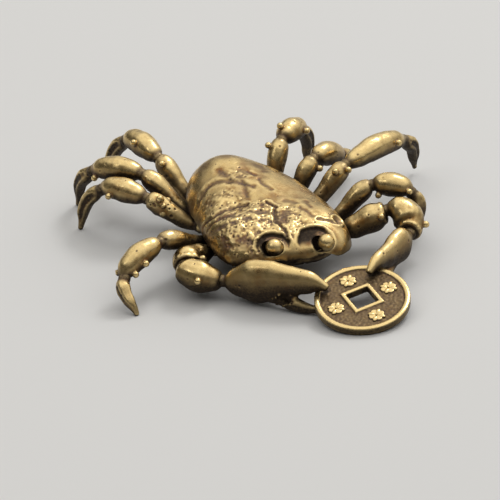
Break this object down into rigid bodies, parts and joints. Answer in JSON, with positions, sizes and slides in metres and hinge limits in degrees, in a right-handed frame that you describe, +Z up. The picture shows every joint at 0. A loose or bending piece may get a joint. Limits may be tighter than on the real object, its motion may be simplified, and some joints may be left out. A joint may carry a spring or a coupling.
{
  "type": "crab figurine",
  "caption": "Small cast brass crab ornament with jointed-looking legs, holding a coin with a square hole between its two claws.",
  "frame": {"origin": "middle of the ground that the whole figure covers, on the surface that it stands on", "axes": "+Z up; the crab faces -Y and its own left side is +X; +Y runs from the coin to the hind legs"},
  "size_m": [0.0642, 0.0738, 0.0147],
  "materials": {
    "shell_brass": "cast, rubbed bright on the high spots, dark brown in the grooves",
    "underbody_brass": "cast, dark brown patina",
    "eye_brass": "rubbed bright",
    "leg_brass": "cast, rubbed bright on the high spots, dark brown at the joints",
    "claw_brass": "polished, dark brown at the joints",
    "coin_brass": "dark brown patina in the field, rim and frame rubbed bright"
  },
  "bodies": {
    "root": {"carapace": "shell_brass", "thorax": "underbody_brass", "right_eye": "eye_brass", "left_eye": "eye_brass", "right_leg_1_upper": "leg_brass", "right_leg_1_lower": "leg_brass", "right_leg_1_foot": "leg_brass", "right_leg_2_upper": "leg_brass", "right_leg_2_lower": "leg_brass", "right_leg_2_foot": "leg_brass", "right_leg_3_upper": "leg_brass", "right_leg_3_lower": "leg_brass", "right_leg_3_foot": "leg_brass", "right_leg_4_upper": "leg_brass", "right_leg_4_lower": "leg_brass", "right_leg_4_foot": "leg_brass", "left_leg_1_upper": "leg_brass", "left_leg_1_lower": "leg_brass", "left_leg_1_foot": "leg_brass", "left_leg_2_upper": "leg_brass", "left_leg_2_lower": "leg_brass", "left_leg_2_foot": "leg_brass", "left_leg_3_upper": "leg_brass", "left_leg_3_lower": "leg_brass", "left_leg_3_foot": "leg_brass", "left_leg_4_upper": "leg_brass", "left_leg_4_lower": "leg_brass", "left_leg_4_foot": "leg_brass", "right_claw_arm": "claw_brass", "right_claw_wrist": "claw_brass", "right_claw_palm": "claw_brass", "right_claw_finger": "claw_brass", "left_claw_arm": "claw_brass", "left_claw_wrist": "claw_brass", "left_claw_palm": "claw_brass", "left_claw_finger": "claw_brass", "coin": "coin_brass"}
  },
  "joints": []
}
